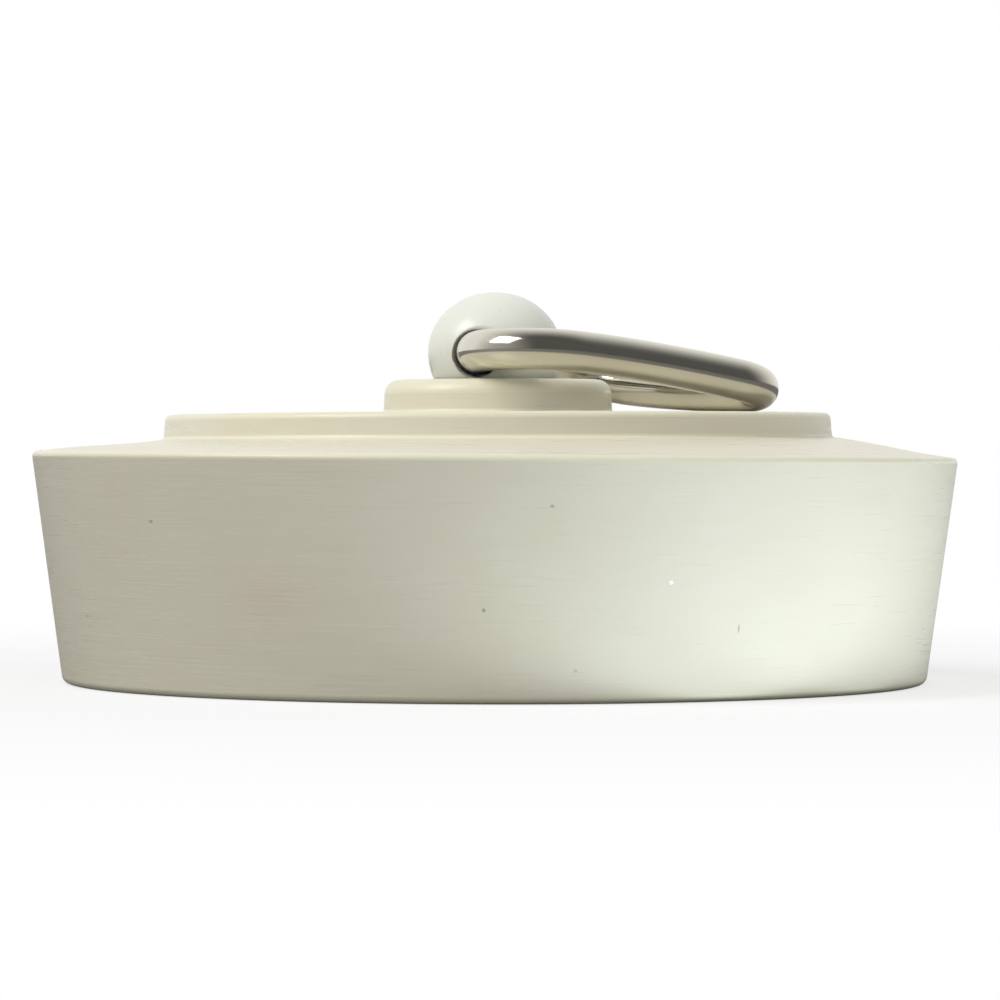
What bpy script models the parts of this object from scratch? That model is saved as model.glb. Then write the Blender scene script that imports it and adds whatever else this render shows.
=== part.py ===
"""Sink plug for a 45 mm waste: a turned PVC moulding, a ball-headed stud that swivels in
its hub, and a wire pull ring that swings through a cross hole in the ball. The stud is
held from below by a washer and a retaining ring, and an O-ring seals its bore.

Metres, +Z up, origin at the centre of the flat underside."""

import math

import bmesh
import bpy
import numpy as np
from mathutils import Euler, Vector

MM = 0.001

# Plug moulding: driving sizes
RIM_RADIUS = 22.53 * MM
BASE_RADIUS = 21.0 * MM
SIDE_HEIGHT = 11.05 * MM
SHOULDER_RISE = 0.81 * MM
STEP_RADIUS = 16.3 * MM
STEP_DRAFT = 0.1 * MM
STEP_HEIGHT = 1.18 * MM
STEP_CROWN = 0.12 * MM
HUB_RADIUS = 5.58 * MM
HUB_DRAFT = 0.06 * MM
HUB_HEIGHT = 1.56 * MM
RECESS_RADIUS = 7.5 * MM
RECESS_DEPTH = 4.8 * MM

# Plug moulding: edge rounds
RIM_ROUND = 0.25 * MM
BASE_ROUND = 0.4 * MM
SHOULDER_ROUND = 0.15 * MM
STEP_ROUND = 0.3 * MM
HUB_ROUND = 0.7 * MM
RECESS_ROUND = 0.3 * MM

# Ball stud
BALL_RADIUS = 3.27 * MM
CROWN_HEIGHT = 2.92 * MM
BALL_LIFT = 1.36 * MM
HOLE_DROP = 0.22 * MM
SHANK_RADIUS = 2.0 * MM
SHANK_END = 1.2 * MM
SHANK_CHAMFER = 0.4 * MM
MOUTH_DEPTH = 1.2 * MM
MOUTH_FLARE = 0.42 * MM

# Pull ring: a rounded triangle of wire, slightly twisted, whose straight bar passes
# through the ball
WIRE_RADIUS = 1.0 * MM
BAR_STRAIGHT = 8.26 * MM
BAR_BEND_RADIUS = 3.37 * MM
TIP_BEND_RADIUS = 2.05 * MM
RING_REACH = 13.05 * MM
RING_TWIST_DEG = 8.9
TWIST_EASE = 0.7
BAR_SLIDE = 1.73 * MM
BAR_SIDE_PLAY = 0.24 * MM
BAR_LIFT = 0.07 * MM
SWIVEL_DEG = -13.3
RING_ROLL_DEG = 1.2

# Pieces under the hub
SEAL_WIRE_RADIUS = 0.5 * MM
WASHER_RADIUS = 6.0 * MM
WASHER_THICKNESS = 0.8 * MM
CLIP_RADIUS = 3.4 * MM
CLIP_THICKNESS = 0.5 * MM
GROOVE_DEPTH = 0.5 * MM
CLIP_OPENING_DEG = 70.0

# Clearances
SEAT_GAP = 0.25 * MM
RUNNING_GAP = 0.1 * MM
HOLE_CLEARANCE = 0.38 * MM
REST_GAP = 0.1 * MM
CUT_OVERRUN = 1.0 * MM
MERGE_DISTANCE = 0.01 * MM

# Fineness of the faceted solids
BODY_STEPS = 72
STUD_STEPS = 48
SMALL_STEPS = 40
SEAL_STEPS = 10
ROUND_STEPS = 3
BALL_STEPS = 9
BEND_STEPS = 14
STRAIGHT_STEPS = 5
WIRE_STEPS = 4
PITCH_HALVINGS = 12
SHARP_ANGLE = math.radians(35.0)

# Heights and radii that follow from the sizes above
SHOULDER_Z = SIDE_HEIGHT + SHOULDER_RISE
STEP_Z = SHOULDER_Z + STEP_HEIGHT
HUB_FOOT_Z = STEP_Z + STEP_CROWN
HUB_TOP_Z = HUB_FOOT_Z + HUB_HEIGHT
HOLE_RADIUS = WIRE_RADIUS + HOLE_CLEARANCE
BALL_Z = HUB_TOP_Z + BALL_LIFT
HOLE_Z = BALL_Z - HOLE_DROP
BAR_Z = HOLE_Z + BAR_LIFT
BORE_RADIUS = SHANK_RADIUS + RUNNING_GAP
SOCKET_RADIUS = BALL_RADIUS + SEAT_GAP
SEAL_CENTRE_RADIUS = BORE_RADIUS + SEAL_WIRE_RADIUS
SEAL_SPACE = 2 * SEAL_WIRE_RADIUS + RUNNING_GAP
WASHER_TOP_Z = RECESS_DEPTH - SEAT_GAP
WASHER_FOOT_Z = WASHER_TOP_Z - WASHER_THICKNESS
CLIP_TOP_Z = WASHER_FOOT_Z - SEAT_GAP
CLIP_FOOT_Z = CLIP_TOP_Z - CLIP_THICKNESS
GROOVE_RADIUS = SHANK_RADIUS - GROOVE_DEPTH


def clear_scene():
    for obj in list(bpy.data.objects):
        bpy.data.objects.remove(obj, do_unlink=True)


def material(name, colour, roughness, metallic=0.0):
    made = bpy.data.materials.new(name)
    made.use_nodes = True
    shader = made.node_tree.nodes["Principled BSDF"]
    shader.inputs["Base Color"].default_value = (*colour, 1.0)
    shader.inputs["Roughness"].default_value = roughness
    shader.inputs["Metallic"].default_value = metallic
    return made


def arc(centre, radius_x, radius_z, start, end, steps):
    """Points of an elliptic arc in the XZ plane, both ends included."""
    angles = np.linspace(start, end, steps + 1)
    return [(centre[0] + radius_x * math.cos(a), centre[1] + radius_z * math.sin(a)) for a in angles]


def rounded(corners):
    """An outline through the corners (x, z, radius), each with a radius turned into a round."""
    outline = []
    for index, (x, z, radius) in enumerate(corners):
        here = Vector((x, z))
        if not radius:
            outline.append((x, z))
            continue
        back = (Vector(corners[index - 1][:2]) - here).normalized()
        ahead = (Vector(corners[(index + 1) % len(corners)][:2]) - here).normalized()
        half = back.angle(ahead) / 2
        centre = here + (back + ahead).normalized() * radius / math.sin(half)
        start = here + back * radius / math.tan(half) - centre
        turn = start.angle_signed(here + ahead * radius / math.tan(half) - centre)
        for step in range(ROUND_STEPS + 1):
            angle = turn * step / ROUND_STEPS
            turned_x = start.x * math.cos(angle) + start.y * math.sin(angle)
            turned_z = start.y * math.cos(angle) - start.x * math.sin(angle)
            outline.append((centre.x + turned_x, centre.y + turned_z))
    return outline


def turned(name, outline, steps, finish, closed=True):
    """A solid of revolution about local Z, its outline running down the outer side."""
    made = bmesh.new()
    points = [made.verts.new((x, 0.0, z)) for x, z in outline]
    ends = points[1:] + points[:1] if closed else points[1:]
    edges = [made.edges.new(pair) for pair in zip(points, ends)]
    bmesh.ops.spin(
        made,
        geom=points + edges,
        cent=(0.0, 0.0, 0.0),
        axis=(0.0, 0.0, 1.0),
        angle=2 * math.pi,
        steps=steps,
    )
    bmesh.ops.remove_doubles(made, verts=made.verts, dist=MERGE_DISTANCE)
    bmesh.ops.recalc_face_normals(made, faces=made.faces)
    mesh = bpy.data.meshes.new(name)
    made.to_mesh(mesh)
    made.free()
    return placed(name, mesh, finish)


def placed(name, mesh, finish):
    """An object of the mesh, shaded smooth between its sharp edges."""
    mesh.shade_smooth()
    mesh.set_sharp_from_angle(angle=SHARP_ANGLE)
    mesh.materials.append(finish)
    obj = bpy.data.objects.new(name, mesh)
    bpy.context.collection.objects.link(obj)
    return obj


def socket_outline():
    """The ball's seat in the hub, from the bore up to the hub's top."""
    foot = -math.acos(BORE_RADIUS / SOCKET_RADIUS)
    mouth = -math.asin(BALL_LIFT / SOCKET_RADIUS)
    return arc((0.0, BALL_Z), SOCKET_RADIUS, SOCKET_RADIUS, foot, mouth, ROUND_STEPS + 1)


def body_outline():
    """The moulding's section, from the hub down the tapered side and back up through the bore."""
    seal_radius = SEAL_CENTRE_RADIUS + SEAL_WIRE_RADIUS + RUNNING_GAP
    seal_z = RECESS_DEPTH + SEAL_SPACE
    corners = [
        (HUB_RADIUS - HUB_DRAFT, HUB_TOP_Z, HUB_ROUND),
        (HUB_RADIUS, HUB_FOOT_Z, 0),
        (STEP_RADIUS - STEP_DRAFT, STEP_Z, STEP_ROUND),
        (STEP_RADIUS, SHOULDER_Z, SHOULDER_ROUND),
        (RIM_RADIUS, SIDE_HEIGHT, RIM_ROUND),
        (BASE_RADIUS, 0, BASE_ROUND),
        (RECESS_RADIUS, 0, RECESS_ROUND),
        (RECESS_RADIUS, RECESS_DEPTH, RECESS_ROUND),
        (seal_radius, RECESS_DEPTH, 0),
        (seal_radius, seal_z, 0),
        (BORE_RADIUS, seal_z, 0),
    ]
    return rounded(corners + [(x, z, 0) for x, z in socket_outline()])


def plug_body():
    cream_pvc = material("cream_pvc", (0.62, 0.58, 0.45), 0.42)
    return turned("plug_body", body_outline(), BODY_STEPS, cream_pvc)


def stud_outline():
    """Crown, ball, shank, clip groove and chamfered end, from the crown's pole down."""
    crown = arc((0.0, BALL_Z), BALL_RADIUS, CROWN_HEIGHT, math.pi / 2, 0.0, BALL_STEPS)
    foot = -math.acos(SHANK_RADIUS / BALL_RADIUS)
    ball = arc((0.0, BALL_Z), BALL_RADIUS, BALL_RADIUS, 0.0, foot, BALL_STEPS)
    crown[0] = (0.0, BALL_Z + CROWN_HEIGHT)
    shank = [
        (SHANK_RADIUS, CLIP_TOP_Z + RUNNING_GAP),
        (GROOVE_RADIUS, CLIP_TOP_Z + RUNNING_GAP),
        (GROOVE_RADIUS, CLIP_FOOT_Z - RUNNING_GAP),
        (SHANK_RADIUS, CLIP_FOOT_Z - RUNNING_GAP),
        (SHANK_RADIUS, SHANK_END + SHANK_CHAMFER),
        (SHANK_RADIUS - SHANK_CHAMFER, SHANK_END),
        (0.0, SHANK_END),
    ]
    return crown + ball[1:] + shank


def hole_cutter():
    """The cross hole along local Z: a straight middle with mouths flared for the ring's bends."""
    reach = BALL_RADIUS + CUT_OVERRUN
    waist = BALL_RADIUS - MOUTH_DEPTH
    slope = MOUTH_FLARE / MOUTH_DEPTH
    end_radius = HOLE_RADIUS + slope * (reach - waist)
    outline = [(0.0, reach), (end_radius, reach), (HOLE_RADIUS, waist)]
    outline += [(radius, -z) for radius, z in reversed(outline)]
    white = bpy.data.materials["white_acetal"]
    cutter = turned("cross_hole_cutter", outline, SMALL_STEPS, white, closed=False)
    cutter.hide_render = True
    cutter.display_type = "WIRE"
    return cutter


def ball_stud(swivel):
    white_acetal = material("white_acetal", (0.80, 0.80, 0.74), 0.30)
    stud = turned("ball_stud", stud_outline(), STUD_STEPS, white_acetal, closed=False)
    stud.parent = swivel
    cutter = hole_cutter()
    cutter.parent = swivel
    cutter.location = (0.0, 0.0, HOLE_Z)
    cutter.rotation_euler = (math.pi / 2, 0.0, 0.0)
    cut = stud.modifiers.new("Cross hole", "BOOLEAN")
    cut.operation = "DIFFERENCE"
    cut.solver = "EXACT"
    cut.object = cutter
    return stud


def ring_centreline():
    """The wire's centre: bar along local Y at X = 0, tip towards +X.

    The sides run straight between two bends of BAR_BEND_RADIUS and one of TIP_BEND_RADIUS,
    each tangent to the sides, so the angle of the sides follows from the sizes. The ring is
    then twisted about its long axis, by an angle that grows to RING_TWIST_DEG at the tip."""
    bend_y = BAR_STRAIGHT / 2
    bend = Vector((BAR_BEND_RADIUS, bend_y))
    tip = Vector((RING_REACH - TIP_BEND_RADIUS, 0.0))
    span = tip - bend
    lean = math.acos((BAR_BEND_RADIUS - TIP_BEND_RADIUS) / span.length)
    side_normal = math.atan2(span.y, span.x) + lean
    points = [Vector((0.0, y)) for y in np.linspace(-bend_y, bend_y, STRAIGHT_STEPS + 1)]
    for angle in np.linspace(math.pi, side_normal, BEND_STEPS + 1)[1:]:
        points.append(bend + Vector((math.cos(angle), math.sin(angle))) * BAR_BEND_RADIUS)
    start = points[-1]
    end = tip + Vector((math.cos(side_normal), math.sin(side_normal))) * TIP_BEND_RADIUS
    points += [start.lerp(end, step / STRAIGHT_STEPS) for step in range(1, STRAIGHT_STEPS)]
    for angle in np.linspace(side_normal, 0.0, BEND_STEPS + 1):
        points.append(tip + Vector((math.cos(angle), math.sin(angle))) * TIP_BEND_RADIUS)
    mirrored = [Vector((p.x, -p.y)) for p in reversed(points[STRAIGHT_STEPS + 1 : -1])]
    centreline = []
    for p in points + mirrored:
        twist = math.radians(RING_TWIST_DEG) * max(p.x / RING_REACH, 0.0) ** TWIST_EASE
        centreline.append((p.x, p.y * math.cos(twist) + BAR_SLIDE, -p.y * math.sin(twist)))
    return centreline


def distance_to_outline(radius, height, outline):
    """Shortest distance in the half plane from a point to a closed outline."""
    starts = np.array(outline)
    runs = np.roll(starts, -1, axis=0) - starts
    offset = np.array([radius, height]) - starts
    share = (offset * runs).sum(axis=1) / (runs * runs).sum(axis=1)
    nearest = starts + runs * np.clip(share, 0.0, 1.0)[:, None]
    return float(np.hypot(*(np.array([radius, height]) - nearest).T).min())


def ring_turn(pitch):
    return Euler((-math.radians(RING_ROLL_DEG), pitch, 0.0), "XYZ")


def ring_clearance(pitch, outline):
    """Least gap between the wire and the moulding with the ring's tip lowered by pitch."""
    turn = ring_turn(pitch).to_matrix()
    least = math.inf
    for point in ring_centreline():
        x, y, z = turn @ Vector(point)
        radius = math.hypot(x - BAR_SIDE_PLAY, y)
        least = min(least, distance_to_outline(radius, z + BAR_Z, outline))
    return least - WIRE_RADIUS


def rest_pitch():
    """The pitch at which the ring, lowered from well above, stays REST_GAP off the moulding."""
    outline = body_outline()
    pitch, step = -math.pi / 4, math.radians(2.0)
    for _ in range(PITCH_HALVINGS):
        while pitch < math.pi / 2 and ring_clearance(pitch + step, outline) > REST_GAP:
            pitch += step
        step /= 2
    return pitch


def pull_ring(swivel):
    chromed_wire = material("chromed_wire", (0.75, 0.75, 0.74), 0.12, metallic=1.0)
    curve = bpy.data.curves.new("pull_ring", "CURVE")
    curve.dimensions = "3D"
    curve.bevel_depth = WIRE_RADIUS
    curve.bevel_resolution = WIRE_STEPS
    curve.materials.append(chromed_wire)
    points = ring_centreline()
    spline = curve.splines.new("POLY")
    spline.points.add(len(points) - 1)
    for target, (x, y, z) in zip(spline.points, points):
        target.co = (x, y, z, 1.0)
    spline.use_cyclic_u = True
    spline.use_smooth = True
    ring = bpy.data.objects.new("pull_ring", curve)
    bpy.context.collection.objects.link(ring)
    ring.parent = swivel
    ring.location = (-BAR_SIDE_PLAY, 0.0, BAR_Z)
    ring.rotation_euler = ring_turn(rest_pitch())
    return ring


def seal_ring():
    black_rubber = material("black_rubber", (0.03, 0.03, 0.03), 0.6)
    centre_z = RECESS_DEPTH + SEAL_SPACE / 2
    centre = (SEAL_CENTRE_RADIUS, centre_z)
    outline = arc(centre, SEAL_WIRE_RADIUS, SEAL_WIRE_RADIUS, 0.0, -2 * math.pi, SEAL_STEPS)
    return turned("seal_ring", outline[:-1], SMALL_STEPS, black_rubber)


def washer():
    stainless = material("stainless_steel", (0.55, 0.55, 0.54), 0.3, metallic=1.0)
    outline = [
        (BORE_RADIUS, WASHER_TOP_Z),
        (WASHER_RADIUS, WASHER_TOP_Z),
        (WASHER_RADIUS, WASHER_FOOT_Z),
        (BORE_RADIUS, WASHER_FOOT_Z),
    ]
    return turned("washer", outline, SMALL_STEPS, stainless)


def retaining_ring(swivel):
    """An open ring that snaps sideways into the shank's groove."""
    spring_steel = material("spring_steel", (0.35, 0.35, 0.34), 0.35, metallic=1.0)
    inner = GROOVE_RADIUS + RUNNING_GAP
    half_opening = math.radians(CLIP_OPENING_DEG) / 2
    angles = np.linspace(half_opening, 2 * math.pi - half_opening, SMALL_STEPS + 1)
    points = []
    for angle in angles:
        for radius, z in (
            (inner, CLIP_TOP_Z),
            (CLIP_RADIUS, CLIP_TOP_Z),
            (CLIP_RADIUS, CLIP_FOOT_Z),
            (inner, CLIP_FOOT_Z),
        ):
            points.append((radius * math.cos(angle), radius * math.sin(angle), z))
    faces = [(3, 2, 1, 0)]
    for step in range(SMALL_STEPS):
        first = 4 * step
        for side in range(4):
            following = (side + 1) % 4
            faces.append((first + side, first + following, first + following + 4, first + side + 4))
    last = 4 * SMALL_STEPS
    faces.append((last, last + 1, last + 2, last + 3))
    mesh = bpy.data.meshes.new("retaining_ring")
    mesh.from_pydata(points, [], faces)
    ring = placed("retaining_ring", mesh, spring_steel)
    ring.parent = swivel
    return ring


def main():
    clear_scene()
    swivel = bpy.data.objects.new("stud_swivel_axis", None)
    bpy.context.collection.objects.link(swivel)
    swivel.rotation_euler = (0.0, 0.0, math.radians(SWIVEL_DEG))
    plug_body()
    seal_ring()
    washer()
    ball_stud(swivel)
    retaining_ring(swivel)
    pull_ring(swivel)


main()
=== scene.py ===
import math

import bpy
import numpy as np
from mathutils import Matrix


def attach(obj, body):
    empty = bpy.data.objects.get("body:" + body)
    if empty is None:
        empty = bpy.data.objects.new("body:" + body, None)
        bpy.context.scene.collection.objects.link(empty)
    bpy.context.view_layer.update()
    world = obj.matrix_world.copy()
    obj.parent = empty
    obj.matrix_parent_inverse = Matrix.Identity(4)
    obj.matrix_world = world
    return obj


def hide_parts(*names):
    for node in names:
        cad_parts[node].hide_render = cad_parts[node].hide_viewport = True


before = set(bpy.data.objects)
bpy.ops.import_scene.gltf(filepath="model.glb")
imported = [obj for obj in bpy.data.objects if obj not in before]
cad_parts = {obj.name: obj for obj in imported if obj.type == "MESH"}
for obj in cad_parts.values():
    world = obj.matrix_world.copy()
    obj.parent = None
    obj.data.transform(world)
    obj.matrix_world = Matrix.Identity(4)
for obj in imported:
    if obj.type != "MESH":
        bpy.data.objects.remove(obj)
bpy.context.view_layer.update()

# The view
# Level with the plug's rim and about 22 cm in front of it, so that the top is seen
# edge-on and the flat underside shows as a shallow curve.
VIEW_DISTANCE = 0.21996
VIEW_HEIGHT = 0.01105
VIEW_SIDE = 0.00025
VIEW_WIDTH_AT_PLUG = 0.04888
VIEW_ROLL = math.radians(-0.1)
VIEW_SHIFT = -0.045
NEAREST_SEEN = 0.01
FARTHEST_SEEN = 20.0
SENSOR_MM = 36.0

view = bpy.data.cameras.new("view")
view.sensor_width = SENSOR_MM
view.lens = SENSOR_MM * VIEW_DISTANCE / VIEW_WIDTH_AT_PLUG
view.shift_y = VIEW_SHIFT
view.clip_start = NEAREST_SEEN
view.clip_end = FARTHEST_SEEN
camera = bpy.data.objects.new("view", view)
camera.location = (VIEW_SIDE, -VIEW_DISTANCE, VIEW_HEIGHT)
camera.rotation_euler = (math.pi / 2, VIEW_ROLL, 0.0)
bpy.context.scene.collection.objects.link(camera)
bpy.context.scene.camera = camera
bpy.context.scene.view_settings.view_transform = "Standard"

# The table and the light
# A white table top under soft lamps, before a white background that the plating mirrors
# too. In the plating alone, the room in front of the plug is dark.
TABLE_REACH = 1.5
TABLE_DROP = 0.00002
TABLE_WHITE = 0.8
TABLE_BOUNCE = 0.2
SHADOW_REACH = 0.02
WHITE_REACH = 0.09
GLOW_NEAR_PLUG = 0.72


def node_tools(tree):
    """Short ways to add a node and to join sockets in one node tree."""

    def add(kind, **values):
        node = tree.nodes.new("ShaderNode" + kind)
        for name, value in values.items():
            setattr(node, name, value)
        return node

    def join(source, target):
        tree.links.new(source, target)

    return add, join


def stretched(add, join, source, low, high, to_low=0.0, to_high=1.0, kind="LINEAR"):
    """The source's range low to high spread over to_low to to_high, and held at both ends."""
    node = add("MapRange", interpolation_type=kind)
    for label, value in (("From Min", low), ("From Max", high), ("To Min", to_low), ("To Max", to_high)):
        node.inputs[label].default_value = value
    join(source, node.inputs["Value"])
    return node.outputs["Result"]


def plain_table():
    """A square table top just under the plug. The camera sees its white paint through a
    share of plain white, which grows from the plug outwards until no shadow is left. Light
    bounces off it less than it would off white paint."""
    mesh = bpy.data.meshes.new("table")
    reach = TABLE_REACH
    corners = [(-reach, -reach, 0), (reach, -reach, 0), (reach, reach, 0), (-reach, reach, 0)]
    mesh.from_pydata(corners, [], [(0, 1, 2, 3)])
    table = bpy.data.objects.new("table", mesh)
    table.location.z = -TABLE_DROP
    bpy.context.scene.collection.objects.link(table)
    paint = bpy.data.materials.new("table_white")
    paint.use_nodes = True
    add, join = node_tools(paint.node_tree)
    surface = paint.node_tree.nodes["Principled BSDF"]
    surface.inputs["Roughness"].default_value = 0.8
    glow = add("Emission")
    path = add("LightPath")
    shade = add("Mix", data_type="FLOAT")
    shade.inputs["A"].default_value = TABLE_BOUNCE
    shade.inputs["B"].default_value = TABLE_WHITE
    join(path.outputs["Is Camera Ray"], shade.inputs["Factor"])
    join(shade.outputs["Result"], surface.inputs["Base Color"])
    place = add("TexCoord")
    away = add("VectorMath", operation="LENGTH")
    join(place.outputs["Object"], away.inputs[0])
    distance = away.outputs["Value"]
    fade = stretched(add, join, distance, SHADOW_REACH, WHITE_REACH, GLOW_NEAR_PLUG, kind="SMOOTHSTEP")
    share = add("Math", operation="MULTIPLY")
    mix = add("MixShader")
    join(fade, share.inputs[1])
    join(path.outputs["Is Camera Ray"], share.inputs[0])
    join(share.outputs[0], mix.inputs[0])
    join(surface.outputs[0], mix.inputs[1])
    join(glow.outputs[0], mix.inputs[2])
    join(mix.outputs[0], paint.node_tree.nodes["Material Output"].inputs["Surface"])
    mesh.materials.append(paint)


plain_table()

AIR_RIGHT = 0.60
AIR_FRONT = 0.72
MIRRORED_FRONT = 0.10
MIRRORED_BACKGROUND = 1.0
MIRRORED_LEFT = 0.35


def room_light():
    """A dim room, whose air is brightest in front of and to the right of the plug. The
    plating mirrors the white background behind the plug, and a dark room in front of it."""
    room = bpy.data.worlds.new("room")
    room.use_nodes = True
    bpy.context.scene.world = room
    add, join = node_tools(room.node_tree)
    air = room.node_tree.nodes["Background"]
    direction = add("TexCoord")
    split = add("SeparateXYZ")
    join(direction.outputs["Generated"], split.inputs[0])

    def towards(axis, start, end, low, high):
        """A strength that eases from low to high as one axis of the direction goes from
        start to end."""
        return stretched(add, join, split.outputs[axis], start, end, low, high, kind="SMOOTHSTEP")

    def total(first, second, held=False):
        """The sum of two strengths, held at 1 where asked."""
        both = add("Math", operation="ADD", use_clamp=held)
        join(first, both.inputs[0])
        join(second, both.inputs[1])
        return both.outputs[0]

    soft = total(towards("X", -0.3, 1.0, 0.0, AIR_RIGHT), towards("Y", 0.3, -1.0, 0.0, AIR_FRONT))
    mirrored = total(
        towards("Y", -0.45, 0.9, MIRRORED_FRONT, MIRRORED_BACKGROUND),
        towards("X", -0.2, -1.0, 0.0, MIRRORED_LEFT),
        held=True,
    )
    path = add("LightPath")
    in_plating = add("Mix", data_type="FLOAT")
    join(path.outputs["Is Glossy Ray"], in_plating.inputs["Factor"])
    join(soft, in_plating.inputs["A"])
    join(mirrored, in_plating.inputs["B"])
    to_camera = add("Mix", data_type="FLOAT")
    join(path.outputs["Is Camera Ray"], to_camera.inputs["Factor"])
    join(in_plating.outputs["Result"], to_camera.inputs["A"])
    to_camera.inputs["B"].default_value = 1.0
    join(to_camera.outputs["Result"], air.inputs["Strength"])
    air.inputs["Color"].default_value = (1.0, 1.0, 1.0, 1.0)


room_light()

PLAIN = (1.0, 1.0, 1.0)
LAMP_TARGET = (0, 0, 0.01)
CARD_TINT = (0.80, 0.91, 1.0)
CARD_WIDTH = 0.036
CARD_LENGTH = 0.046
CARD_HEIGHT = 0.0001


def soft_lamp(name, place, target, width, length, power, tint=PLAIN, mirrored=False):
    """A rectangular lamp that the camera doesn't see, and the plating only where mirrored."""
    lamp = bpy.data.lights.new(name, "AREA")
    lamp.shape = "RECTANGLE"
    lamp.size, lamp.size_y = width, length
    lamp.energy = power
    lamp.color = tint
    holder = bpy.data.objects.new(name, lamp)
    holder.location = place
    aim = np.array(target) - np.array(place)
    tilt = math.acos(-aim[2] / np.linalg.norm(aim))
    holder.rotation_euler = (tilt, 0.0, math.atan2(aim[1], aim[0]) - math.pi / 2)
    holder.visible_camera = False
    holder.visible_glossy = mirrored
    bpy.context.scene.collection.objects.link(holder)


soft_lamp(
    "lamp_high_left",
    (-0.25, -0.10, 0.60),
    LAMP_TARGET,
    width=0.18,
    length=0.18,
    power=1.46,
)
soft_lamp(
    "lamp_upper_left",
    (-0.42, -0.16, 0.42),
    LAMP_TARGET,
    width=0.3,
    length=0.3,
    power=1.62,
    mirrored=True,
)

# Cards of light on the table, facing up, for the light that the white table throws on the
# plug's right side. Each: name, x and y, where it points, and its power.
CARDS = [
    ("card_front_right", (0.0221, -0.0382), (0.0226, -0.0391, 1), 0.0066),
    ("card_right", (0.0362, -0.0253), (0.0370, -0.0259, 1), 0.0040),
    ("card_side_right", (0.0435, -0.0077), (0.0445, -0.0079, 1), 0.0029),
    ("card_far_right", (0.0426, 0.0114), (0.0436, 0.0117, 1), 0.0040),
]
for name, (x, y), target, power in CARDS:
    soft_lamp(name, (x, y, CARD_HEIGHT), target, CARD_WIDTH, CARD_LENGTH, power, CARD_TINT)

# Plug moulding
# Cream PVC, moulded in one piece and skimmed on a lathe: tapered side, low conical
# shoulder, raised step and a hub whose cupped top carries the ball. It is hollowed below.
RIM_RADIUS = 0.02253
BASE_RADIUS = 0.0210
SIDE_HEIGHT = 0.01105
SHOULDER_TOP = 0.01186
STEP_RADIUS = 0.0163
STEP_TOP = 0.01304
HUB_RADIUS = 0.00558
HUB_FOOT = 0.01316
HUB_TOP = 0.01472
BALL_HEIGHT = 0.01608
BALL_RADIUS = 0.00327
SOCKET_RADIUS = 0.00352
BORE_RADIUS = 0.0021
RECESS_RADIUS = 0.0075
RECESS_DEPTH = 0.0048
SEAL_SEAT_RADIUS = 0.0032
SEAL_SEAT_TOP = 0.0059
HUB_DRAFT = 0.00006
STEP_DRAFT = 0.0001
HUB_ROUND = 0.0007
HUB_FOOT_ROUND = 0.00012
STEP_ROUND = 0.0003
STEP_FOOT_ROUND = 0.00018
RIM_ROUND = 0.00025
BASE_ROUND = 0.0004
RECESS_ROUND = 0.0003
UPPER_SHIFT = 0.00014
UPPER_LEAN = math.radians(0.30)
RIM_LEAN = math.radians(0.36)
BASE_TRUE_TO = 0.001
SIDE_TRUE_TO = 0.0105
UPPER_FROM = 0.0118
SHOULDER_GAP = 0.0004
RIM_MARGIN = 0.001
SHIFT_FULL_AT = 0.0034
LEAN_FROM = 0.003
LEAN_FULL_AT = 0.006
OUTLINE_SPACING = 0.0005
CORNER_MARGIN = 0.00006
SOCKET_STEPS = 12
TURNED_STEPS = 360


def rounded_outline(corners, spacing, closed=True):
    """An outline through corners (x, z, radius): each radius becomes an arc that is tangent
    to both runs. A run has points at most one spacing apart, and one more close to each of
    its ends, which keeps the shading of its flat. Gives the points and, for each, 1 on an
    arc and 0 away from it."""
    count = len(corners)
    pieces = []
    for index, (x, z, radius) in enumerate(corners):
        here = np.array((x, z))
        inner = closed or 0 < index < count - 1
        if radius == 0 or not inner:
            pieces.append((here[None], 0.0))
            continue
        back = np.array(corners[index - 1][:2]) - here
        ahead = np.array(corners[(index + 1) % count][:2]) - here
        back, ahead = back / np.linalg.norm(back), ahead / np.linalg.norm(ahead)
        half = math.acos(np.clip(back @ ahead, -1, 1)) / 2
        middle = here + (back + ahead) / np.linalg.norm(back + ahead) * radius / math.sin(half)
        first = here + back * radius / math.tan(half) - middle
        last = here + ahead * radius / math.tan(half) - middle
        turn = math.atan2(first[0] * last[1] - first[1] * last[0], first @ last)
        angles = np.linspace(0, turn, max(5, int(abs(turn) / math.radians(9))))[:, None]
        arc = np.cos(angles) * first + np.sin(angles) * np.array((-first[1], first[0]))
        pieces.append((middle + arc, 1.0))
    points, on_arc = [], []
    for index, (piece, value) in enumerate(pieces):
        points.append(piece)
        on_arc.append(np.full(len(piece), value))
        if not closed and index == count - 1:
            break
        start, end = piece[-1], pieces[(index + 1) % count][0][0]
        length = np.linalg.norm(end - start)
        steps = max(1, math.ceil(length / spacing))
        shares = np.linspace(0, 1, steps + 1)[1:-1]
        margin = min(0.05, CORNER_MARGIN / max(length, 1e-9))
        shares = np.concatenate([[margin], shares, [1 - margin]])
        points.append(start + shares[:, None] * (end - start))
        on_arc.append(np.zeros(len(shares)))
    return np.concatenate(points), np.concatenate(on_arc)


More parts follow.
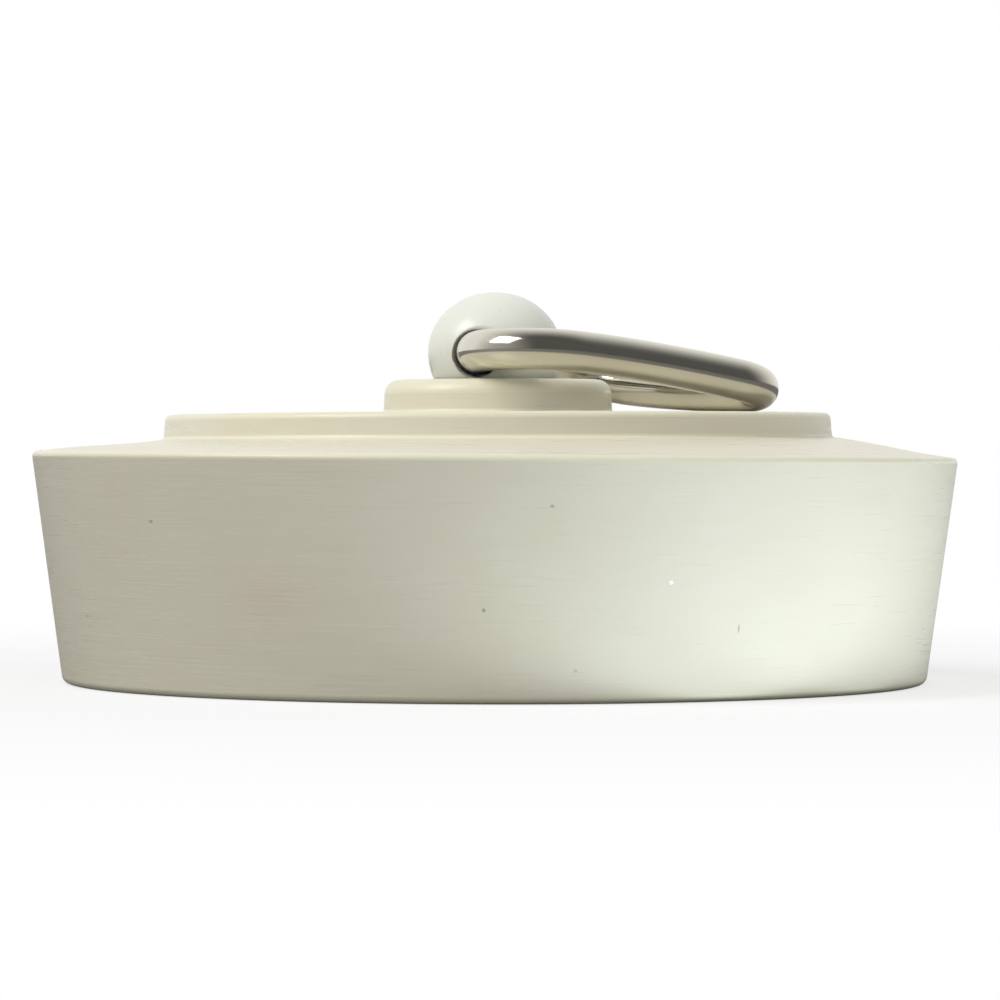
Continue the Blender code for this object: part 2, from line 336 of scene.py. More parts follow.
def shell(name, rings, looped=True, **values):
    """A closed skin over rings of points (ring, point, xyz). Neighbouring rings are joined
    all round; the last ring joins the first where looped, and otherwise each end is closed
    by a fan to its own middle. values are one number per point, kept as attributes."""
    count, around = rings.shape[:2]
    points = rings.reshape(-1, 3)
    first = np.arange(count if looped else count - 1)[:, None]
    along = np.arange(around)[None]
    after, beside = (first + 1) % count, (along + 1) % around
    here, there = first * around, after * around
    quads = np.stack([here + along, here + beside, there + beside, there + along], -1)
    faces = quads.reshape(-1, 4).tolist()
    if not looped:
        ends = len(points)
        points = np.concatenate([points, rings[0].mean(0)[None], rings[-1].mean(0)[None]])
        side = np.arange(around)
        next_side = (side + 1) % around
        last = (count - 1) * around
        faces += np.stack([np.full(around, ends), next_side, side], -1).tolist()
        faces += np.stack([np.full(around, ends + 1), last + side, last + next_side], -1).tolist()
    corners = np.array([f[:3] for f in faces])
    others = np.array([(f[0], f[2], f[-1]) for f in faces])
    volume = sum(np.linalg.det(points[c]).sum() for c in (corners, others))
    if volume < 0:
        faces = [f[::-1] for f in faces]
    mesh = bpy.data.meshes.new(name)
    mesh.from_pydata(points.tolist(), [], faces)
    mesh.shade_smooth()
    for key, numbers in values.items():
        attribute = mesh.attributes.new(key, "FLOAT", "POINT")
        filled = np.zeros(len(points), np.float32)
        filled[: count * around] = numbers.reshape(-1)
        attribute.data.foreach_set("value", filled)
    piece = bpy.data.objects.new(name, mesh)
    bpy.context.scene.collection.objects.link(piece)
    return piece


def turned(outline, steps):
    """The outline (radius, height) carried once round the axis: x and y are the radius
    times the cosine and sine of the angle. Gives rings of points (outline, step, xyz)."""
    angle = np.linspace(0, 2 * math.pi, steps, endpoint=False)
    radius, height = outline[:, :1], outline[:, 1:]
    return np.stack([radius * np.cos(angle), radius * np.sin(angle), height + 0 * angle], -1)


def eased(value, low, high):
    """0 at low and 1 at high, with a smooth start and end: 3t squared less 2t cubed."""
    t = np.clip((value - low) / (high - low), 0, 1)
    return t * t * (3 - 2 * t)


def socket_corners():
    """The cupped seat of the ball: an arc of the socket radius round the ball's middle, from
    the bore up to the hub's top."""
    low = -math.acos(BORE_RADIUS / SOCKET_RADIUS)
    high = -math.asin((BALL_HEIGHT - HUB_TOP) / SOCKET_RADIUS)
    angles = np.linspace(low, high, SOCKET_STEPS)
    return [(SOCKET_RADIUS * math.cos(a), BALL_HEIGHT + SOCKET_RADIUS * math.sin(a), 0) for a in angles]


def as_moulded(rings):
    """The true turned shape with the small faults of a real plug: the step and hub sit a
    little to one side, and the rim and the step each lean a fraction of a degree. Each is
    eased in by height and by radius, so that the base and the bore stay true."""
    x, y, z = rings[..., 0], rings[..., 1], rings[..., 2]
    radius = np.hypot(x, y)
    shoulder = STEP_RADIUS + SHOULDER_GAP
    upper = eased(z, SIDE_TRUE_TO, UPPER_FROM) * (1 - eased(radius, shoulder, RIM_RADIUS))
    rim = eased(z, BASE_TRUE_TO, SIDE_TRUE_TO) * eased(radius, shoulder, RIM_RADIUS - RIM_MARGIN)
    moved = rings.copy()
    moved[..., 0] += UPPER_SHIFT * upper * eased(radius, BORE_RADIUS, SHIFT_FULL_AT)
    moved[..., 2] += math.tan(UPPER_LEAN) * x * upper * eased(radius, LEAN_FROM, LEAN_FULL_AT)
    moved[..., 2] -= math.tan(RIM_LEAN) * x * rim
    return moved


outline, arcs = rounded_outline(
    [
        (HUB_RADIUS - HUB_DRAFT, HUB_TOP, HUB_ROUND),
        (HUB_RADIUS, HUB_FOOT, HUB_FOOT_ROUND),
        (STEP_RADIUS - STEP_DRAFT, STEP_TOP, STEP_ROUND),
        (STEP_RADIUS, SHOULDER_TOP, STEP_FOOT_ROUND),
        (RIM_RADIUS, SIDE_HEIGHT, RIM_ROUND),
        (BASE_RADIUS, 0.0, BASE_ROUND),
        (RECESS_RADIUS, 0.0, RECESS_ROUND),
        (RECESS_RADIUS, RECESS_DEPTH, RECESS_ROUND),
        (SEAL_SEAT_RADIUS, RECESS_DEPTH, 0),
        (SEAL_SEAT_RADIUS, SEAL_SEAT_TOP, 0),
        (BORE_RADIUS, SEAL_SEAT_TOP, 0),
    ]
    + socket_corners(),
    OUTLINE_SPACING,
)
body_rings = as_moulded(turned(outline, TURNED_STEPS))
plug = shell("plug_moulding", body_rings, edge=np.repeat(arcs[:, None], TURNED_STEPS, 1))
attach(plug, "plug")
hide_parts("plug_body")


def new_group(name, inputs, outputs):
    """An empty node group with number inputs (name: value) and outputs of the given kinds."""
    group = bpy.data.node_groups.new(name, "ShaderNodeTree")
    for label, value in inputs.items():
        socket = group.interface.new_socket(label, in_out="INPUT", socket_type="NodeSocketFloat")
        socket.default_value = value
    for label, kind in outputs.items():
        group.interface.new_socket(label, in_out="OUTPUT", socket_type="NodeSocket" + kind)
    source = group.nodes.new("NodeGroupInput")
    result = group.nodes.new("NodeGroupOutput")
    return group, source, result


def lathe_marks_group():
    """Fine rings left by turning: a noise that runs slowly round the piece and changes fast
    down the side and across the face. Its third coordinate is radius plus height."""
    group, source, result = new_group(
        "lathe_marks",
        {"Pitch": 9000.0, "Run": 300.0},
        {"Marks": "Float", "Bands": "Float"},
    )
    add, join = node_tools(group)
    place = add("TexCoord")
    split = add("SeparateXYZ")
    join(place.outputs["Object"], split.inputs[0])
    flat = add("CombineXYZ")
    join(split.outputs["X"], flat.inputs["X"])
    join(split.outputs["Y"], flat.inputs["Y"])
    radius = add("VectorMath", operation="LENGTH")
    join(flat.outputs[0], radius.inputs[0])
    travel = add("Math", operation="ADD")
    join(radius.outputs["Value"], travel.inputs[0])
    join(split.outputs["Z"], travel.inputs[1])
    for pitch_share, label, detail in ((1.0, "Marks", 3.0), (0.12, "Bands", 2.0)):
        pitch = add("Math", operation="MULTIPLY")
        join(source.outputs["Pitch"], pitch.inputs[0])
        pitch.inputs[1].default_value = pitch_share
        across = add("Math", operation="MULTIPLY")
        join(travel.outputs[0], across.inputs[0])
        join(pitch.outputs[0], across.inputs[1])
        scaled = add("VectorMath", operation="SCALE")
        join(flat.outputs[0], scaled.inputs[0])
        join(source.outputs["Run"], scaled.inputs["Scale"])
        spot = add("SeparateXYZ")
        join(scaled.outputs[0], spot.inputs[0])
        where = add("CombineXYZ")
        join(spot.outputs["X"], where.inputs["X"])
        join(spot.outputs["Y"], where.inputs["Y"])
        join(across.outputs[0], where.inputs["Z"])
        noise = add("TexNoise")
        noise.inputs["Scale"].default_value = 1.0
        noise.inputs["Detail"].default_value = detail
        join(where.outputs[0], noise.inputs["Vector"])
        join(noise.outputs["Fac"], result.inputs[label])
    return group


def specks_group():
    """Sparse small spots: the inner part of a few cells of a cell pattern, and a slow mottle."""
    group, source, result = new_group(
        "specks",
        {"Cells": 400.0, "Size": 0.12, "Rarity": 0.93},
        {"Spots": "Float", "Mottle": "Float"},
    )
    add, join = node_tools(group)
    place = add("TexCoord")
    cells = add("TexVoronoi")
    join(place.outputs["Object"], cells.inputs["Vector"])
    join(source.outputs["Cells"], cells.inputs["Scale"])
    near = add("Math", operation="LESS_THAN")
    join(cells.outputs["Distance"], near.inputs[0])
    join(source.outputs["Size"], near.inputs[1])
    pick = add("SeparateColor")
    join(cells.outputs["Color"], pick.inputs[0])
    rare = add("Math", operation="GREATER_THAN")
    join(pick.outputs["Red"], rare.inputs[0])
    join(source.outputs["Rarity"], rare.inputs[1])
    both = add("Math", operation="MULTIPLY")
    join(near.outputs[0], both.inputs[0])
    join(rare.outputs[0], both.inputs[1])
    join(both.outputs[0], result.inputs["Spots"])
    mottle = add("TexNoise")
    mottle.inputs["Scale"].default_value = 160.0
    mottle.inputs["Detail"].default_value = 4.0
    join(place.outputs["Object"], mottle.inputs["Vector"])
    join(mottle.outputs["Fac"], result.inputs["Mottle"])
    return group


LATHE_MARKS = lathe_marks_group()
SPECKS = specks_group()


def finish_material(name, roughness, metallic=0.0):
    """A material with its plain values set on the shader's own sockets."""
    made = bpy.data.materials.new(name)
    made.use_nodes = True
    shader = made.node_tree.nodes["Principled BSDF"]
    shader.inputs["Roughness"].default_value = roughness
    shader.inputs["Metallic"].default_value = metallic
    return made, shader


def use_group(add, group, **values):
    """A node group placed in a material with its own values."""
    node = add("Group", node_tree=group)
    for label, value in values.items():
        node.inputs[label].default_value = value
    return node


def blended(add, join, factor, first, second):
    """first where factor is 0 and second where it is 1. Each is a colour or a socket."""
    node = add("Mix", data_type="RGBA")
    join(factor, node.inputs["Factor"])
    for value, socket in ((first, node.inputs[6]), (second, node.inputs[7])):
        if isinstance(value, tuple):
            socket.default_value = (*value, 1.0)
        else:
            join(value, socket)
    return node.outputs[2]


def bumped(add, join, shader, heights):
    """Stacked bumps on the shader's normal, each of (height, strength, depth)."""
    normal = None
    for height, strength, depth in heights:
        bump = add("Bump")
        bump.inputs["Strength"].default_value = strength
        bump.inputs["Distance"].default_value = depth
        join(height, bump.inputs["Height"])
        if normal:
            join(normal, bump.inputs["Normal"])
        normal = bump.outputs["Normal"]
    join(normal, shader.inputs["Normal"])


# Small faults in the moulded side: angle from the front in degrees, height, half width and
# half height, and how much each darkens (positive) or pales (negative) the plastic.
SIDE_MARKS = [
    (-1.2, 0.0042, 0.00007, 0.00008, 0.7),
    (6.6, 0.0088, 0.00009, 0.00006, 0.6),
    (-44.9, 0.0080, 0.00012, 0.00007, 0.55),
    (21.2, 0.0054, 0.00009, 0.00009, -1.0),
    (30.7, 0.0033, 0.00005, 0.00022, 0.5),
    (9.8, 0.0015, 0.00008, 0.00006, 0.35),
    (-62.0, 0.0035, 0.00010, 0.00007, 0.4),
    (118.0, 0.0060, 0.00012, 0.00009, 0.6),
    (196.0, 0.0031, 0.00010, 0.00008, 0.5),
    (251.0, 0.0079, 0.00009, 0.00010, 0.6),
]
# A faint warm smear: angle, height, half width, half height.
SMEAR = (-27.4, 0.0046, 0.0016, 0.0011)


def patch_mask(add, join, angle, height, half_width, half_height, softness):
    """1 inside an ellipsoid round a place on the side and 0 outside it. The distance to the
    place is taken with each axis shrunk by its half size, and the edge fades over softness."""
    turn = math.radians(angle)
    radius = BASE_RADIUS + (RIM_RADIUS - BASE_RADIUS) * height / SIDE_HEIGHT
    place = add("TexCoord")
    spot = add("Mapping", vector_type="TEXTURE")
    spot.inputs["Location"].default_value = (radius * math.sin(turn), -radius * math.cos(turn), height)
    spot.inputs["Scale"].default_value = (half_width, half_width, half_height)
    join(place.outputs["Object"], spot.inputs["Vector"])
    far = add("VectorMath", operation="LENGTH")
    join(spot.outputs[0], far.inputs[0])
    return stretched(add, join, far.outputs["Value"], 1 - softness, 1 + softness, 1.0, 0.0)


def cream_pvc():
    """Cream, yellowed in a mottle and in faint turned bands, paler on rounded edges as a painted
    highlight, with small dark and pale marks and one warm smear. Its gloss follows the turned marks."""
    CREAM = (0.72, 0.685, 0.555)
    YELLOWED = (0.66, 0.61, 0.44)
    # A paler yellow for the painted highlight on rounded edges.
    EDGE_HIGHLIGHT = (0.78, 0.76, 0.56)
    SPECK = (0.22, 0.19, 0.15)
    CHIP = (0.95, 0.95, 0.92)
    STAIN = (0.70, 0.57, 0.47)
    made, shader = finish_material("cream_pvc", 0.36)
    add, join = node_tools(made.node_tree)
    lathe = use_group(add, LATHE_MARKS, Pitch=9000.0, Run=260.0)
    spots = use_group(add, SPECKS, Cells=520.0, Size=0.07, Rarity=0.95)
    edge = add("Attribute", attribute_name="edge")
    mottled = stretched(add, join, spots.outputs["Mottle"], 0.35, 0.75, to_high=0.35)
    colour = blended(add, join, mottled, CREAM, YELLOWED)
    banded = stretched(add, join, lathe.outputs["Bands"], 0.45, 0.8, to_high=0.2)
    colour = blended(add, join, banded, colour, YELLOWED)
    # Painted highlight: the rounded edges are turned towards a paler yellow.
    rounded = stretched(add, join, edge.outputs["Fac"], 0.0, 1.0, to_high=0.4)
    colour = blended(add, join, rounded, colour, EDGE_HIGHLIGHT)
    for angle, height, half_width, half_height, depth in SIDE_MARKS:
        patch = patch_mask(add, join, angle, height, half_width, half_height, 0.4)
        marked = stretched(add, join, patch, 0.0, 1.0, to_high=abs(depth))
        colour = blended(add, join, marked, colour, SPECK if depth > 0 else CHIP)
    smeared = stretched(add, join, patch_mask(add, join, *SMEAR, 0.8), 0.0, 1.0, to_high=0.35)
    colour = blended(add, join, smeared, colour, STAIN)
    join(colour, shader.inputs["Base Color"])
    join(stretched(add, join, lathe.outputs["Marks"], 0.3, 0.7, 0.26, 0.42), shader.inputs["Roughness"])
    turned_marks = (lathe.outputs["Marks"], 0.3, 0.00002)
    turned_bands = (lathe.outputs["Bands"], 0.25, 0.00004)
    bumped(add, join, shader, [turned_marks, turned_bands])
    return made


plug.data.materials.append(cream_pvc())

# Ball stud
# White acetal, moulded: a ball with a cross hole for the ring, on a shank that swivels in
# the hub's bore and carries a groove for the retaining ring at its lower end.
CROWN_HEIGHT = 0.00292
SWIVEL = math.radians(-13.3)
HOLE_RADIUS = 0.00109
HOLE_SIDE = -0.00024
HOLE_DROP = 0.00015
MOUTH_RADIUS = 0.00117
HOLE_WAIST = 0.0026
SHANK_RADIUS = 0.0020
SHANK_TOP = 0.0142
SHANK_END = 0.0012
SHANK_CHAMFER = 0.0004
GROOVE_RADIUS = 0.0015
GROOVE_PLAY = 0.0001
CLIP_TOP = 0.0035
CLIP_FOOT = 0.0030
SHANK_ROUND = 0.0002
SHANK_END_ROUND = 0.0001
SHANK_SPACING = 0.0006
NEAR_AXIS = 0.00001
LIP_ANGLE = 0.08
LIP_SHARE = 1.005
LIP_WIDTH = 0.00004
LIP_IN_HOLE = 0.9
WAIST_START_SHARE = 0.92
WAIST_SHARE = 0.75
WAIST_STEPS = 9
HEAD_ARC_STEPS = 90
HEAD_TURN_STEPS = 160
SHANK_STEPS = 96


def swivelled(points):
    """The points turned about the upright axis by the stud's angle at rest."""
    c, s = math.cos(SWIVEL), math.sin(SWIVEL)
    return points @ np.array(((c, s, 0), (-s, c, 0), (0, 0, 1)))


def ball_head_rings():
    """A section carried round the hole's axis: an arc of the ball from lip to lip, then back
    through the hole, which widens at both mouths and is set a little to the side of the
    ball's middle and below it. The upper half of the ball is lowered to the crown, and the
    hole stays round. Gives the rings, and a value that is 1 in the hole and 0 on the ball."""
    mouth_y = math.sqrt(BALL_RADIUS**2 - MOUTH_RADIUS**2)
    reach = math.asin(mouth_y / BALL_RADIUS) - LIP_ANGLE
    angles = np.linspace(-reach, reach, HEAD_ARC_STEPS)
    outer = np.stack([BALL_RADIUS * np.cos(angles), BALL_RADIUS * np.sin(angles), 0 * angles], -1)
    flare_shares = np.array([1.0, 0.94, 0.85, 0.5, 0.15, 0.04, 0.0])
    mouth_along = HOLE_WAIST + (mouth_y - HOLE_WAIST) * flare_shares
    mouth_along[0] *= LIP_SHARE
    mouth_along[-1] = HOLE_WAIST * WAIST_START_SHARE
    mouth_radius = HOLE_RADIUS + (MOUTH_RADIUS - HOLE_RADIUS) * flare_shares
    mouth_radius[0] += LIP_WIDTH
    waist = np.linspace(HOLE_WAIST * WAIST_SHARE, -HOLE_WAIST * WAIST_SHARE, WAIST_STEPS)
    along = np.concatenate([mouth_along, waist, -mouth_along[::-1]])
    wall = np.concatenate([mouth_radius, np.full(WAIST_STEPS, HOLE_RADIUS), mouth_radius[::-1]])
    inner = np.stack([wall, along, np.ones(len(along))], -1)
    # The lips count 0.9 as in the hole, which eases both the hole's offset and its painted shade.
    inner[[0, -1], 2] = LIP_IN_HOLE
    section = np.concatenate([outer, inner])
    turn = np.linspace(0, 2 * math.pi, HEAD_TURN_STEPS, endpoint=False)
    in_hole = section[:, 2:]
    x = section[:, :1] * np.cos(turn) + HOLE_SIDE * in_hole
    z = section[:, :1] * np.sin(turn) - HOLE_DROP * in_hole
    crown = 1 + (CROWN_HEIGHT / BALL_RADIUS - 1) * (1 - in_hole)
    z = np.where(z > 0, z * crown, z)
    rings = np.stack([x, section[:, 1:2] + 0 * turn, z + BALL_HEIGHT], -1)
    return rings, np.repeat(in_hole, len(turn), 1)


# The second value marks the hole, where the acetal gets painted shade.
head_rings, rub = ball_head_rings()
ball = shell("ball_stud_turned", swivelled(head_rings), rub=rub)
shank_outline, _ = rounded_outline(
    [
        (NEAR_AXIS, SHANK_TOP, 0),
        (SHANK_RADIUS, SHANK_TOP, 0),
        (SHANK_RADIUS, CLIP_TOP + GROOVE_PLAY, 0),
        (GROOVE_RADIUS, CLIP_TOP + GROOVE_PLAY, 0),
        (GROOVE_RADIUS, CLIP_FOOT - GROOVE_PLAY, 0),
        (SHANK_RADIUS, CLIP_FOOT - GROOVE_PLAY, 0),
        (SHANK_RADIUS, SHANK_END + SHANK_CHAMFER, SHANK_ROUND),
        (SHANK_RADIUS - SHANK_CHAMFER, SHANK_END, SHANK_END_ROUND),
        (NEAR_AXIS, SHANK_END, 0),
    ],
    SHANK_SPACING,
    closed=False,
)
# The shank has no hole, so it gets no painted shade.
unrubbed = np.zeros((len(shank_outline), SHANK_STEPS))
shank = shell("ball_stud_shank", turned(shank_outline, SHANK_STEPS), looped=False, rub=unrubbed)
weld = ball.modifiers.new("one piece", "BOOLEAN")
weld.operation = "UNION"
weld.solver = "EXACT"
weld.object = shank
graph = bpy.context.evaluated_depsgraph_get()
ball_mesh = bpy.data.meshes.new_from_object(ball.evaluated_get(graph))
ball.modifiers.clear()
ball.data = ball_mesh
bpy.data.objects.remove(shank)
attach(ball, "stud")
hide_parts("ball_stud")


def white_acetal():
    """Off-white with a faint warm mottle and few grey specks. Inside the hole it is darker in
    bands, mostly painted shade and partly wear where the wire rubs."""
    WHITE = (0.75, 0.765, 0.69)
    WARM = (0.70, 0.69, 0.59)
    # Dark grey for the painted shade in the hole, and for the specks.
    HOLE_SHADE_AND_SPECK_GREY = (0.42, 0.41, 0.37)
    made, shader = finish_material("white_acetal", 0.30)
    add, join = node_tools(made.node_tree)
    spots = use_group(add, SPECKS, Cells=900.0, Size=0.05, Rarity=0.95)
    lathe = use_group(add, LATHE_MARKS, Pitch=2500.0, Run=900.0)
    # Painted shade inside the ball's hole, with a little wear from the wire: the colour turns towards
    # dark grey there, in bands.
    hole_mask = add("Attribute", attribute_name="rub")
    mottled = stretched(add, join, spots.outputs["Mottle"], 0.4, 0.8, to_high=0.5)
    colour = blended(add, join, mottled, WHITE, WARM)
    rubbed = add("Math", operation="MULTIPLY")
    join(hole_mask.outputs["Fac"], rubbed.inputs[0])
    join(stretched(add, join, lathe.outputs["Bands"], 0.3, 0.7, 0.25, 0.7), rubbed.inputs[1])
    colour = blended(add, join, rubbed.outputs[0], colour, HOLE_SHADE_AND_SPECK_GREY)
    colour = blended(add, join, spots.outputs["Spots"], colour, HOLE_SHADE_AND_SPECK_GREY)
    join(colour, shader.inputs["Base Color"])
    join(stretched(add, join, lathe.outputs["Bands"], 0.3, 0.7, 0.25, 0.36), shader.inputs["Roughness"])
    bumped(add, join, shader, [(lathe.outputs["Marks"], 0.12, 0.00001)])
    return made


ball.data.materials.clear()
ball.data.materials.append(white_acetal())

# Pull ring
# Nickel-plated steel wire, 2 mm thick, bent into a rounded triangle that has been twisted a
# little in use. Its straight bar passes through the ball, and its tip lies on the step.
WIRE_RADIUS = 0.0010
BAR_STRAIGHT = 0.00826
BAR_BEND_RADIUS = 0.00337
TIP_BEND_RADIUS = 0.00205
RING_REACH = 0.01305
TWIST = math.radians(8.9)
TWIST_EASE = 0.7
BAR_SLIDE = 0.00173
BAR_SIDE_PLAY = 0.00024
BAR_HEIGHT = 0.01593
RING_PITCH = math.radians(6.741)
RING_ROLL = math.radians(1.2)
WIRE_SIDES = 40
BEND_STEPS = 60
TIP_STEPS = 90
SIDE_STEPS = 12
BAR_STEPS = 24


def ring_path():
    """The wire's middle line: the bar on y, a bend at each end, two straight sides and a
    wide bend at the tip, each run tangent to its bends. Gives points and unit tangents."""
    bend = np.array((BAR_BEND_RADIUS, BAR_STRAIGHT / 2))
    tip = np.array((RING_REACH - TIP_BEND_RADIUS, 0.0))
    span = tip - bend
    side = math.atan2(span[1], span[0])
    side += math.acos((BAR_BEND_RADIUS - TIP_BEND_RADIUS) / np.linalg.norm(span))
    first = np.linspace(math.pi, side, BEND_STEPS)
    second = np.linspace(side, -side, TIP_STEPS)
    out = np.stack([np.cos(first), np.sin(first)], -1) * BAR_BEND_RADIUS + bend
    end = np.stack([np.cos(second), np.sin(second)], -1) * TIP_BEND_RADIUS + tip
    back = out[::-1] * (1, -1)

    def run(start, finish, steps):
        """Evenly spaced points between two others, without those two."""
        return start + np.linspace(0, 1, steps + 1)[1:-1, None] * (finish - start)

    far_side = run(out[-1], end[0], SIDE_STEPS)
    near_side = run(end[-1], back[0], SIDE_STEPS)
    bar = run(back[-1], out[0], BAR_STEPS)
    path = np.concatenate([out, far_side, end, near_side, back, bar])
    ahead = np.roll(path, -1, 0) - np.roll(path, 1, 0)
    return path, ahead / np.linalg.norm(ahead, axis=1)[:, None]


def tilted(first, second, angle):
    """Two axes turned in their own plane: the first by cosine and sine towards the second."""
    c, s = np.cos(angle), np.sin(angle)
    return first * c + second * s, second * c - first * s


def ring_rings():
    """A circle of the wire's radius carried along the path, square to it. The flat ring is
    then twisted about x, by TWIST times the share of the reach to the power TWIST_EASE, and
    rolled, pitched and swivelled to where it lies."""
    path, ahead = ring_path()
    turn = np.linspace(0, 2 * math.pi, WIRE_SIDES, endpoint=False)
    outward = np.stack([-ahead[:, 1], ahead[:, 0]], -1)
    flat = path[:, None] + WIRE_RADIUS * np.cos(turn)[None, :, None] * outward[:, None]
    x, y = flat[..., 0], flat[..., 1]
    z = np.broadcast_to(WIRE_RADIUS * np.sin(turn), x.shape)
    y, z = tilted(y, z, TWIST * np.clip(path[:, :1] / RING_REACH, 0, 1) ** TWIST_EASE)
    y, z = tilted(y + BAR_SLIDE, z, RING_ROLL)
    x, z = tilted(x, z, RING_PITCH)
    return swivelled(np.stack([x - BAR_SIDE_PLAY, y, z + BAR_HEIGHT], -1))


pull_ring = shell("pull_ring_wire", ring_rings())
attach(pull_ring, "ring")
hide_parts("pull_ring")


def plated_wire():
    """Nickel, mottled and specked with duller spots, with a fine unevenness from handling."""
    BRIGHT = (0.68, 0.65, 0.56)
    DULL = (0.52, 0.49, 0.40)
    made, shader = finish_material("plated_wire", 0.14, metallic=1.0)
    add, join = node_tools(made.node_tree)
    spots = use_group(add, SPECKS, Cells=1600.0, Size=0.12, Rarity=0.9)
    mottled = stretched(add, join, spots.outputs["Mottle"], 0.4, 0.75, to_high=0.5)
    colour = blended(add, join, mottled, BRIGHT, DULL)
    colour = blended(add, join, spots.outputs["Spots"], colour, DULL)
    join(colour, shader.inputs["Base Color"])
    join(stretched(add, join, spots.outputs["Mottle"], 0.3, 0.8, 0.10, 0.24), shader.inputs["Roughness"])
    fine = add("TexNoise")
    fine.inputs["Scale"].default_value = 2600.0
    place = add("TexCoord")
    join(place.outputs["Object"], fine.inputs["Vector"])
    bumped(add, join, shader, [(fine.outputs["Fac"], 0.08, 0.00001)])
    return made


pull_ring.data.materials.append(plated_wire())

# Seal ring
# A moulded black rubber O-ring in the counterbore round the shank. It keeps water from
# passing the stud.
SEAL_MIDDLE = 0.0026
SEAL_WIRE = 0.0005
SEAL_HEIGHT = 0.00535
SEAL_SIDES = 24
SEAL_STEPS = 120

seal_turn = np.linspace(0, 2 * math.pi, SEAL_SIDES, endpoint=False)
seal_radius = SEAL_MIDDLE + SEAL_WIRE * np.cos(seal_turn)
seal_outline = np.stack([seal_radius, SEAL_HEIGHT - SEAL_WIRE * np.sin(seal_turn)], -1)
seal = shell("rubber_seal", turned(seal_outline, SEAL_STEPS))
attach(seal, "plug")
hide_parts("seal_ring")


def black_rubber():
    """Near black with a greyer bloom in a mottle, which also roughens it."""
    BLACK = (0.022, 0.022, 0.023)
    BLOOM = (0.07, 0.07, 0.068)
    made, shader = finish_material("black_rubber", 0.6)
    add, join = node_tools(made.node_tree)
    spots = use_group(add, SPECKS, Cells=1200.0, Size=0.1, Rarity=0.9)
    mottled = stretched(add, join, spots.outputs["Mottle"], 0.4, 0.8)
    join(blended(add, join, mottled, BLACK, BLOOM), shader.inputs["Base Color"])
    join(stretched(add, join, spots.outputs["Mottle"], 0.3, 0.8, 0.5, 0.75), shader.inputs["Roughness"])
    bumped(add, join, shader, [(spots.outputs["Mottle"], 0.3, 0.00003)])
    return made


seal.data.materials.append(black_rubber())

# Washer
# Stainless steel, punched from sheet and tumbled. The punch has rounded its rim above and
# its bore below, and tumbling has taken the sharpness off the other two edges.
WASHER_RADIUS = 0.0060
WASHER_TOP = 0.00455
WASHER_FOOT = 0.00375
WASHER_RIM_ROUND = 0.00015
WASHER_BORE_ROUND = 0.00012
WASHER_RIM_TUMBLED = 0.00008
WASHER_BORE_TUMBLED = 0.00006
WASHER_SPACING = 0.0004
WASHER_STEPS = 160

washer_outline, washer_arcs = rounded_outline(
    [
        (BORE_RADIUS, WASHER_TOP, WASHER_BORE_TUMBLED),
        (WASHER_RADIUS, WASHER_TOP, WASHER_RIM_ROUND),
        (WASHER_RADIUS, WASHER_FOOT, WASHER_RIM_TUMBLED),
        (BORE_RADIUS, WASHER_FOOT, WASHER_BORE_ROUND),
    ],
    WASHER_SPACING,
)
washer_edges = np.repeat(washer_arcs[:, None], WASHER_STEPS, 1)
washer = shell("flat_washer", turned(washer_outline, WASHER_STEPS), edge=washer_edges)
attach(washer, "plug")
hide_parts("washer")


def worn_steel(name, bright, dull, roughness_low, roughness_high):
    """Steel that is dull with bright scratches and dull specks, and brightest where its
    edges are rounded."""
    made, shader = finish_material(name, roughness_low, metallic=1.0)
    add, join = node_tools(made.node_tree)
    spots = use_group(add, SPECKS, Cells=1500.0, Size=0.1, Rarity=0.85)
    scratches = use_group(add, LATHE_MARKS, Pitch=700.0, Run=6000.0)
    edge = add("Attribute", attribute_name="edge")
    scratched = stretched(add, join, scratches.outputs["Marks"], 0.35, 0.7)
    colour = blended(add, join, scratched, dull, bright)
    colour = blended(add, join, spots.outputs["Spots"], colour, dull)
    rounded = stretched(add, join, edge.outputs["Fac"], 0.0, 1.0, to_high=0.6)
    colour = blended(add, join, rounded, colour, bright)
    join(colour, shader.inputs["Base Color"])
    roughness = stretched(add, join, spots.outputs["Mottle"], 0.3, 0.7, roughness_low, roughness_high)
    join(roughness, shader.inputs["Roughness"])
    bumped(add, join, shader, [(scratches.outputs["Marks"], 0.1, 0.00001)])
    return made


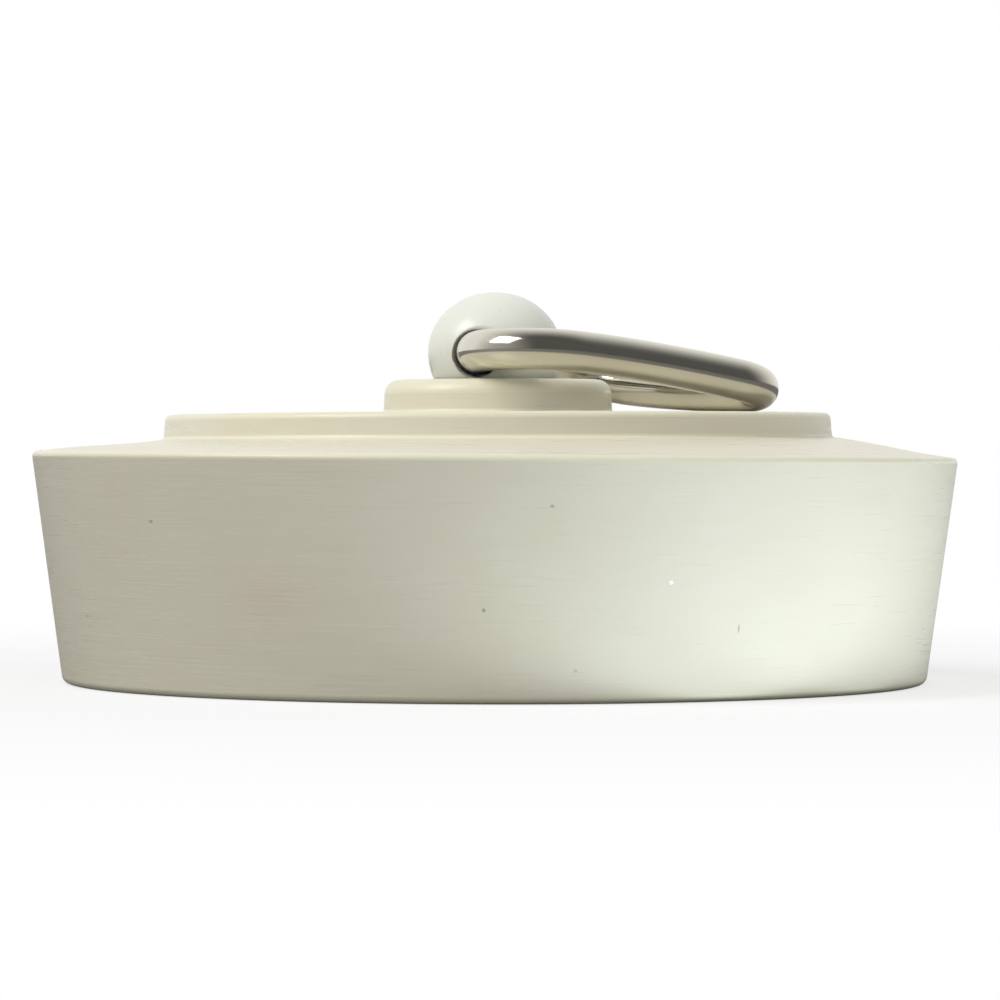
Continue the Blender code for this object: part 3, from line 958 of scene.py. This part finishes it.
TUMBLED_BRIGHT = (0.62, 0.62, 0.60)
TUMBLED_DULL = (0.44, 0.44, 0.43)
tumbled_stainless = worn_steel("tumbled_stainless", TUMBLED_BRIGHT, TUMBLED_DULL, 0.28, 0.42)
washer.data.materials.append(tumbled_stainless)

# Retaining ring
# Spring steel, stamped as an open ring that snaps sideways into the shank's groove. It
# turns with the stud, and the washer above it stops the stud from being pulled out.
CLIP_RADIUS = 0.0034
CLIP_BORE = 0.0016
CLIP_OPENING = math.radians(70.0)
CLIP_STAMPED_ROUND = 0.0001
CLIP_ROUND = 0.00005
CLIP_SPACING = 0.0003
CLIP_STEPS = 120
CLIP_END_STEPS = 5

clip_outline, clip_arcs = rounded_outline(
    [
        (CLIP_BORE, CLIP_TOP, CLIP_ROUND),
        (CLIP_RADIUS, CLIP_TOP, CLIP_STAMPED_ROUND),
        (CLIP_RADIUS, CLIP_FOOT, CLIP_ROUND),
        (CLIP_BORE, CLIP_FOOT, CLIP_ROUND),
    ],
    CLIP_SPACING,
)


def open_ring(section):
    """The section (radius, height) carried round the axis, but for the opening. Near each end
    its width shrinks as a quarter circle does, which rounds the ends."""
    half_open = CLIP_OPENING / 2
    sweep = np.linspace(half_open, 2 * math.pi - half_open, CLIP_STEPS) + SWIVEL
    from_end = np.clip(1 - np.arange(CLIP_STEPS) / CLIP_END_STEPS, 0, 1)
    width_share = np.sqrt(np.clip(1 - from_end**2, 0.05, 1))
    width_share = np.minimum(width_share, width_share[::-1])
    middle = (CLIP_BORE + CLIP_RADIUS) / 2
    radius = middle + (section[None, :, 0] - middle) * width_share[:, None]
    height = np.broadcast_to(section[:, 1], radius.shape)
    return np.stack([radius * np.cos(sweep)[:, None], radius * np.sin(sweep)[:, None], height], -1)


clip_edges = np.repeat(clip_arcs[None], CLIP_STEPS, 0)
clip = shell("snap_ring", open_ring(clip_outline), looped=False, edge=clip_edges)
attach(clip, "stud")
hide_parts("retaining_ring")

SPRING_BRIGHT = (0.40, 0.39, 0.37)
SPRING_DULL = (0.20, 0.19, 0.18)
clip.data.materials.append(worn_steel("spring_steel", SPRING_BRIGHT, SPRING_DULL, 0.3, 0.45))
